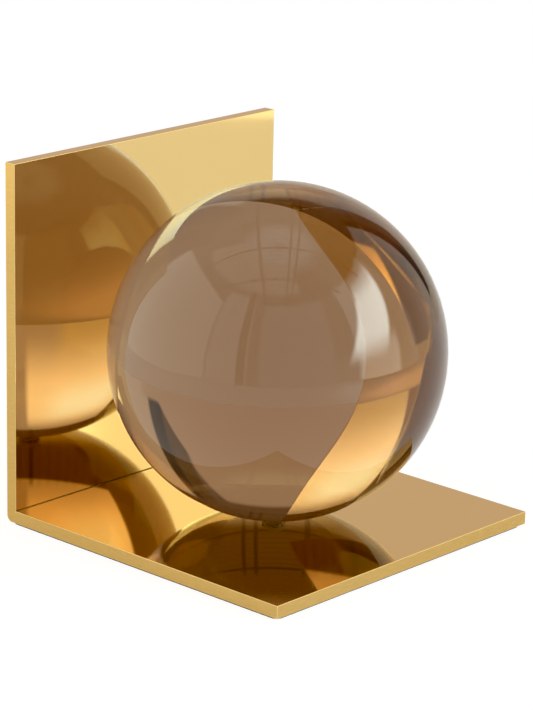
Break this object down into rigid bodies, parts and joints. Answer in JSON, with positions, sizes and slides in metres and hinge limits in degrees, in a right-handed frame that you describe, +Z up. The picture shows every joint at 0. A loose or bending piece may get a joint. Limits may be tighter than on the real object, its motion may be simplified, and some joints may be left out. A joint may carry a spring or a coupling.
{
  "type": "bookend",
  "caption": "Folded polished brass bookend carrying a solid smoked crystal ball on its base, with a black felt pad underneath.",
  "frame": {"origin": "middle of the underside, on the felt pad's lower face, which is the plane the bookend stands on", "axes": "+Z up, +X from the upright towards the base's free edge, +Y along the width"},
  "size_m": [0.14, 0.14, 0.141],
  "materials": {
    "polished_brass": "mirror polished faces, satin edges",
    "smoked_crystal": "polished, smoked brown, clear through",
    "nitrile_rubber": "matt black",
    "machined_brass": "turned, unpolished",
    "zinc_steel": "bright zinc plated",
    "black_felt": "pressed wool felt, black"
  },
  "bodies": {
    "root": {"bracket": "polished_brass", "crystal_ball": "smoked_crystal", "cushion_washer": "nitrile_rubber", "threaded_insert": "machined_brass", "mounting_screw": "zinc_steel", "felt_pad": "black_felt"}
  },
  "joints": []
}
